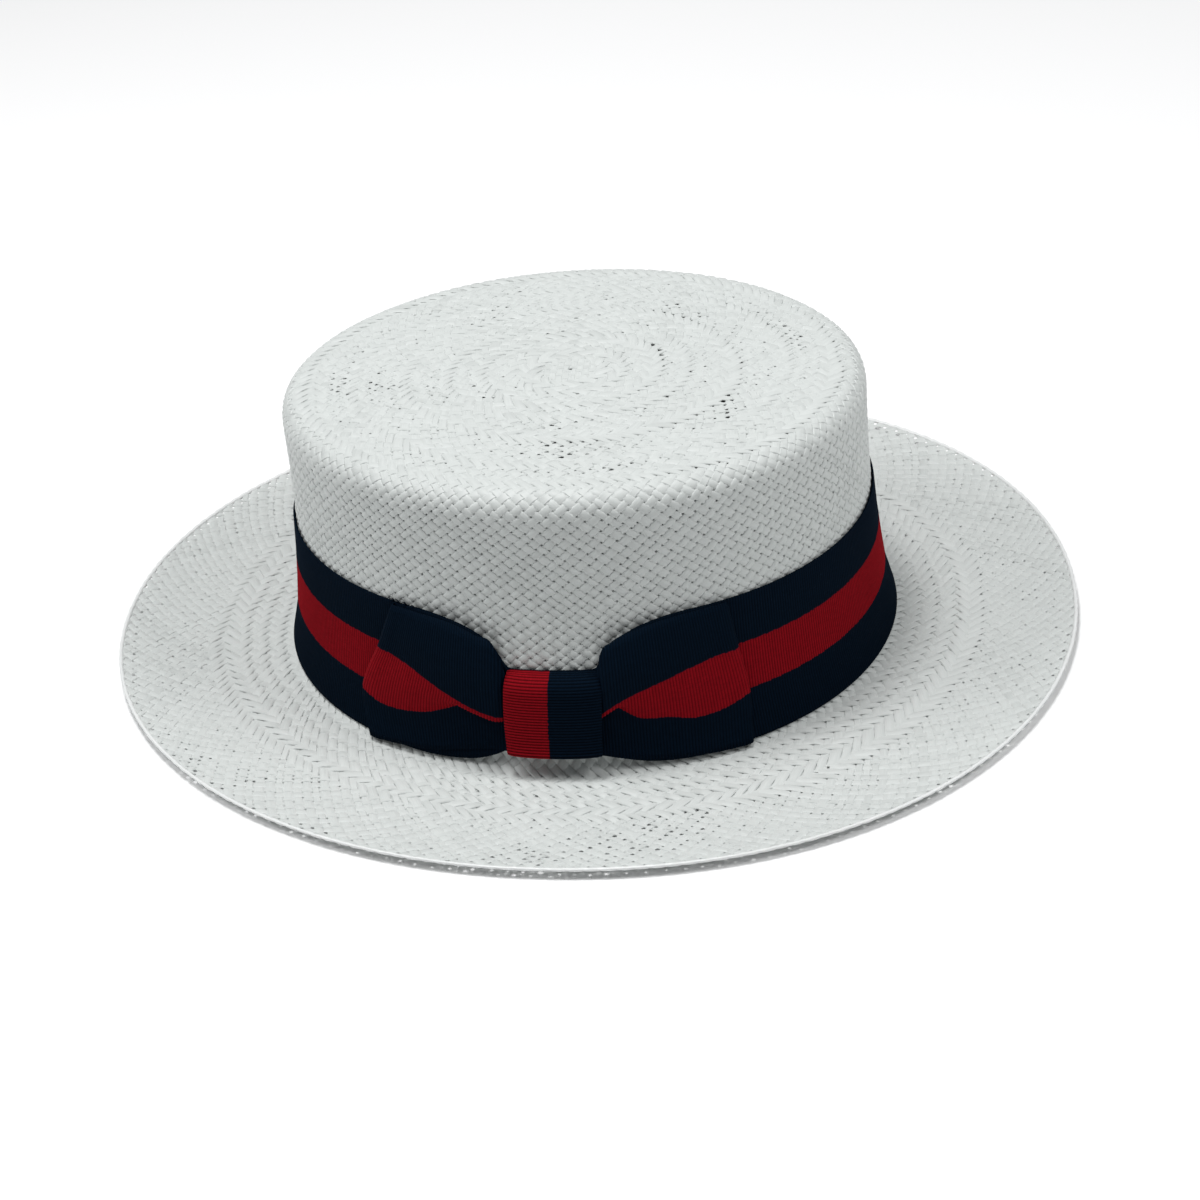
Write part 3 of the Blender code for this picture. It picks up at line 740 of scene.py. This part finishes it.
# Millimetres, but along, which is the share of the loop's length from the knot. Heights: top is the upper edge, ledge_z
# the fold between the upper navy and the red, inner_z the red's middle, hem_z the red's lower border and bottom the
# lower edge. Stand-offs from the straw: crest of the upper navy, ledge, inner and hem at those heights, and low of the
# lower navy.
Section = namedtuple("Section", "along top crest ledge_z ledge inner_z inner hem_z hem bottom low")
FRONT_SECTIONS = (
    Section(0.00, 33.0, 3.4, 20.6, 3.9, 20.1, 3.5, 25.6, 2.4, 8.0, 1.9),
    Section(0.05, 42.0, 4.9, 20.7, 4.7, 20.2, 4.2, 25.6, 2.4, 8.1, 1.9),
    Section(0.20, 47.2, 5.8, 23.0, 5.6, 22.3, 5.0, 24.4, 2.5, 7.8, 2.0),
    Section(0.34, 49.6, 5.9, 25.6, 5.6, 23.4, 4.7, 21.4, 2.6, 6.5, 2.2),
    Section(0.51, 50.8, 5.6, 28.9, 5.1, 23.5, 4.4, 17.6, 3.0, 4.7, 2.5),
    Section(0.70, 51.0, 4.8, 32.6, 4.5, 24.2, 4.3, 15.6, 3.4, 3.8, 2.8),
    Section(0.88, 51.0, 3.9, 34.6, 3.9, 25.4, 3.9, 15.4, 3.6, 3.0, 3.2),
    Section(1.00, 50.9, 3.6, 34.8, 3.7, 26.3, 3.7, 17.6, 3.6, 2.6, 3.4),
)
BACK_SECTIONS = (
    Section(0.00, 33.0, 3.4, 21.6, 4.1, 20.8, 3.6, 25.4, 2.4, 7.2, 1.9),
    Section(0.04, 41.6, 5.4, 23.4, 5.0, 22.6, 4.3, 25.6, 2.5, 6.8, 1.9),
    Section(0.12, 45.6, 5.8, 25.8, 5.2, 24.4, 4.5, 23.4, 2.5, 6.0, 2.0),
    Section(0.26, 48.2, 5.4, 28.6, 4.9, 24.0, 4.2, 19.0, 2.6, 4.9, 2.1),
    Section(0.44, 50.0, 4.5, 31.0, 4.3, 24.6, 3.8, 17.8, 2.7, 4.0, 2.2),
    Section(0.64, 50.8, 3.6, 33.2, 3.4, 24.4, 3.2, 15.6, 2.7, 3.3, 2.3),
    Section(0.84, 50.9, 2.9, 34.6, 2.8, 25.4, 2.7, 16.4, 2.6, 2.8, 2.4),
    Section(1.00, 50.9, 2.6, 34.8, 2.6, 26.6, 2.6, 18.6, 2.6, 2.6, 2.4),
)
LOOP_SHARES = np.linspace(0, 1, 7)
# Both layers start inside the knot, by a share of the loop's length. The front layer's two edges turn in towards the
# crown: of what the upper or lower navy stands off more than so many millimetres, its edge keeps only a share.
KNOT_TUCK = 0.22
TOP_TURNED_IN = (1.5, 0.45)
FOOT_TURNED_IN = (1.6, 0.7)
# The stations round the fold at the loop's end, in half turns from its middle
FOLD_TURNS = (-0.30, 0.0, 0.30)

# How far the loop's end falls back towards the knot is given in mm at each of the shares of its height
Loop = namedtuple("Loop", "name side length sections lean")
LOOPS = (
    Loop("bow_loop_front", -1, 0.0510, FRONT_SECTIONS, (3.4, 0.8, 0.0, 3.2, 7.4, 10.5, 13.0)),
    Loop("bow_loop_back", 1, 0.0462, BACK_SECTIONS, (1.3, 0.4, 0.0, 0.8, 2.1, 3.2, 4.2)),
)


def loop_controls(loop):
    """Places, heights and stand-offs of the loop's middle face at stations along it and seven shares of its width: the
    back layer from inside the knot to the end, three stations round the fold, and the front layer back to the knot."""
    edge = KNOT_PLACE + loop.side * KNOT_WIDTH / 2
    lean = np.array(loop.lean) / 1000
    backs, fronts = [], []
    for section in (loop.sections[0]._replace(along=-KNOT_TUCK), *loop.sections):
        reach = loop.length * section.along - lean * max(section.along, 0) ** 1.5
        place = edge + loop.side * reach
        low, high = edges_at(place)
        if section.along == 1.0:
            low, high = BAND_BOTTOM, BAND_TOP
        backs.append([place, low + (high - low) * LOOP_SHARES, np.full_like(LOOP_SHARES, BACK_LAYER_OUT)])
        heights = np.array([section.bottom, (section.bottom + section.hem_z) / 2, section.hem_z, section.inner_z])
        upper = np.array([section.ledge_z, (section.ledge_z + section.top) / 2, section.top])
        top_out = TOP_TURNED_IN[0] + (section.crest - TOP_TURNED_IN[0]) * TOP_TURNED_IN[1]
        foot_out = FOOT_TURNED_IN[0] + (section.low - FOOT_TURNED_IN[0]) * FOOT_TURNED_IN[1]
        outs = [foot_out, section.low, section.hem, section.inner, section.ledge, section.crest, top_out]
        fronts.append([place, np.concatenate([heights, upper]) / 1000, np.array(outs) / 1000])
    end_back, end_front = np.array(backs[-1]), np.array(fronts[-1])
    folds = []
    for turn in FOLD_TURNS:
        share = 0.5 + 0.5 * math.sin(turn * math.pi)
        bulge = math.cos(turn * math.pi) * (end_front[2] - end_back[2]) / 2
        fold = end_back + (end_front - end_back) * share
        fold[0] += loop.side * bulge
        folds.append(fold)
    return np.array(backs + folds + fronts[::-1])


# At the front loop's upper corner the weave has come apart a little: short loose warp ends stand up from its edge
THREADS = 9
THREAD_CORNERS = 6
THREAD_PLACES = (-0.0575, -0.0470)
THREAD_LENGTHS = (0.0009, 0.0018)
THREAD_RADIUS = 0.00018
THREAD_OUT = 0.0009
THREAD_ABOVE = 0.0001
# Shares of a thread's length: how far it drifts along the band at most, how far it leaves the crown, and how much
# lower it ends for its drift
THREAD_DRIFT = 1.5
THREAD_LEAVES = (-0.2, 0.8)
THREAD_DROOP = 0.35
# They are warp of the selvedge, so they are navy, as the ribbon is this far from its middle
THREAD_ACROSS = 0.47


def loose_threads():
    """Small bent tubes: each starts at the loop's upper edge and rises by its length, less what it droops, while it
    curls along the band by its drift and away from the crown, both by a power of the share of its length."""
    rng = np.random.default_rng(8)
    share = np.linspace(0, 1, 5)
    length = rng.uniform(*THREAD_LENGTHS, THREADS)[:, None]
    drift = rng.uniform(-THREAD_DRIFT, THREAD_DRIFT, THREADS)[:, None]
    place = rng.uniform(*THREAD_PLACES, THREADS)[:, None] + length * drift * share**1.6
    z = BAND_TOP + THREAD_ABOVE + length * share * (1 - THREAD_DROOP * share * np.abs(drift))
    out = THREAD_OUT + length * rng.uniform(*THREAD_LEAVES, THREADS)[:, None] * share**1.5
    turn = np.arange(THREAD_CORNERS) * 2 * math.pi / THREAD_CORNERS
    place = place[..., None] + THREAD_RADIUS * np.cos(turn)
    out = out[..., None] + THREAD_RADIUS * np.sin(turn)
    z = np.broadcast_to(z[..., None], place.shape)
    points = ribbon_point(angle_at(place), z, out)
    # Their zero tones feed the ribbon's painted groove shade, so the threads are painted black at each rib's groove
    # along them
    return strand_tubes(points, np.zeros(THREADS), False, (THREAD_ACROSS,) * THREAD_CORNERS)


for loop in LOOPS:
    controls = loop_controls(loop)
    steps = np.diff(controls[:, [0, 2], 3], axis=0)
    walked = np.concatenate([[0], np.cumsum(np.hypot(steps[:, 0], steps[:, 1]))])
    along = np.arange(0, walked[-1], RIB_PITCH / STEPS_PER_RIB)
    fine = through(controls, walked, along)
    rows = np.linspace(0, 1, LOOP_ROWS)
    fine = through(np.moveaxis(fine, 2, 0), LOOP_SHARES, rows)
    place, z, out = fine[..., 0].T, fine[..., 1].T, fine[..., 2].T
    middle = ribbon_point(angle_at(place), z, out)
    tubes = [ribbon_sheet(middle, rows, LOOP_GROOVE_SHADE, flip=loop.side > 0)]
    if loop.side < 0:
        tubes.append(loose_threads())
    cloth = piece_from(loop.name + "_cloth", tubes, grosgrain, loop.name, "ribbon")

# Bow knot
# A short length of the same ribbon, folded lengthwise so that its red and one navy stripe show, wrapped round the
# middle of the bow and sewn behind it.
KNOT_OUT = 0.0064
KNOT_BEHIND = 0.0006
KNOT_FOOT_CORNER = 0.0014
KNOT_TOP_CORNER = 0.0044
KNOT_COLUMNS = 22
# How light the painted shade leaves the grooves between the knot's ribs, darkest of the three
KNOT_GROOVE_SHADE = 0.15
# The ribbon is folded under at this share of its width on the knot's left, and shows its other edge on the right
KNOT_FIRST_SHARE = 0.382
# It widens a little towards the top on its right and bulges a little on its left, and where it stands further out
# than its ends, its two side edges fall in
KNOT_LEAN = 0.0016
KNOT_BULGE = 0.0006
KNOT_EDGES_IN = 0.0007
KNOT_FACE_OUT = 0.003


def knot_path():
    """Heights and stand-offs along the knot's ribbon: up from behind the band's lower edge, over the front, and back
    in at the top, with round corners."""
    turns = np.linspace(0, math.pi / 2, 7)
    low_z = KNOT_BOTTOM + KNOT_FOOT_CORNER * (1 - np.sin(turns))
    low_out = KNOT_OUT - KNOT_FOOT_CORNER * (1 - np.cos(turns))
    high_z = KNOT_TOP - KNOT_TOP_CORNER * (1 - np.sin(turns))
    high_out = KNOT_OUT - KNOT_TOP_CORNER * (1 - np.cos(turns))
    z = np.concatenate([[KNOT_BOTTOM], low_z[::-1], high_z, [KNOT_TOP]])
    out = np.concatenate([[KNOT_BEHIND], low_out[::-1], high_out, [KNOT_BEHIND]])
    return z, out


path_z, path_out = knot_path()
walked = np.concatenate([[0], np.cumsum(np.hypot(np.diff(path_z), np.diff(path_out)))])
along = np.arange(0, walked[-1], RIB_PITCH / STEPS_PER_RIB)
z = np.interp(along, walked, path_z)[:, None]
out = np.interp(along, walked, path_out)[:, None]
rows = np.linspace(0, 1, KNOT_COLUMNS)
risen = np.clip((z - KNOT_BOTTOM) / (KNOT_TOP - KNOT_BOTTOM), 0, 1)
bulge = KNOT_BULGE * np.sin(math.pi * risen)
place = KNOT_PLACE + KNOT_WIDTH * (rows - 0.5) - bulge * (1 - rows) + KNOT_LEAN * risen * rows
across = KNOT_FIRST_SHARE + (1 - KNOT_FIRST_SHARE) * rows
out = out - KNOT_EDGES_IN * (np.abs(2 * rows - 1) ** 4) * (out > KNOT_FACE_OUT)
middle = ribbon_point(angle_at(place), np.broadcast_to(z, place.shape), out)
tubes = [ribbon_sheet(middle, across, KNOT_GROOVE_SHADE, flip=True)]
knot = piece_from("bow_knot_cloth", tubes, grosgrain, "bow_knot", "ribbon")

# Table, light and camera
# A plain white table under soft studio light, and the camera where the photograph's outlines put it
CAMERA_PLACE = (0.1107, -0.7560, 0.5214)
CAMERA_ROLL = math.radians(-5.642)
CAMERA_LENS = 81.93
CAMERA_SHIFT = (0.00499, 0.00979)
TABLE_REACH = 12
TABLE_WHITE = "#FEFEFE"
SKY_WHITE = "#FAFCFF"
SKY_STRENGTH = 0.18
# Each lamp's name, place, side in metres and power in watts: a strong one nearly overhead, and a weaker one on each
# side, all facing the crown
LAMP_AIM = (0, 0, 0.05)
LAMPS = (
    ("light_above", (-0.18, 0.08, 1.5), 0.4, 13.8),
    ("light_left", (-0.9, -0.15, 1.1), 0.45, 5.2),
    ("light_right", (0.9, -0.15, 1.1), 0.45, 5.8),
)

floor_mesh = bpy.data.meshes.new("table")
corners = [(x * TABLE_REACH, y * TABLE_REACH, 0) for x, y in ((-1, -1), (1, -1), (1, 1), (-1, 1))]
floor_mesh.from_pydata(corners, [], [(0, 1, 2, 3)])
floor = bpy.data.objects.new("table", floor_mesh)
bpy.context.scene.collection.objects.link(floor)
white_table, tree, shader = new_finish("white_table")
shader.inputs["Base Color"].default_value = linear(TABLE_WHITE)
shader.inputs["Roughness"].default_value = 0.9
floor_mesh.materials.append(white_table)

world = bpy.data.worlds.new("studio")
bpy.context.scene.world = world
world.use_nodes = True
sky = world.node_tree.nodes["Background"]
sky.inputs["Color"].default_value = linear(SKY_WHITE)
sky.inputs["Strength"].default_value = SKY_STRENGTH

for name, place, size, power in LAMPS:
    lamp = bpy.data.lights.new(name, "AREA")
    lamp.shape = "SQUARE"
    lamp.size = size
    lamp.energy = power
    made = bpy.data.objects.new(name, lamp)
    bpy.context.scene.collection.objects.link(made)
    away = np.array(place) - np.array(LAMP_AIM)
    made.location = place
    made.rotation_euler = (math.acos(away[2] / np.linalg.norm(away)), 0, math.atan2(away[0], -away[1]))

camera = bpy.data.cameras.new("camera")
camera.lens = CAMERA_LENS
camera.sensor_width = 36
camera.shift_x, camera.shift_y = CAMERA_SHIFT
eye = bpy.data.objects.new("camera", camera)
bpy.context.scene.collection.objects.link(eye)
back = np.array(CAMERA_PLACE) / np.linalg.norm(CAMERA_PLACE)
level = np.cross((0, 0, 1), back)
level /= np.linalg.norm(level)
upright = np.cross(back, level)
right = math.cos(CAMERA_ROLL) * level + math.sin(CAMERA_ROLL) * upright
up = np.cross(back, right)
eye.matrix_world = Matrix([[right[i], up[i], back[i], CAMERA_PLACE[i]] for i in range(3)] + [[0, 0, 0, 1]])
bpy.context.scene.camera = eye
bpy.context.scene.view_settings.view_transform = "Standard"
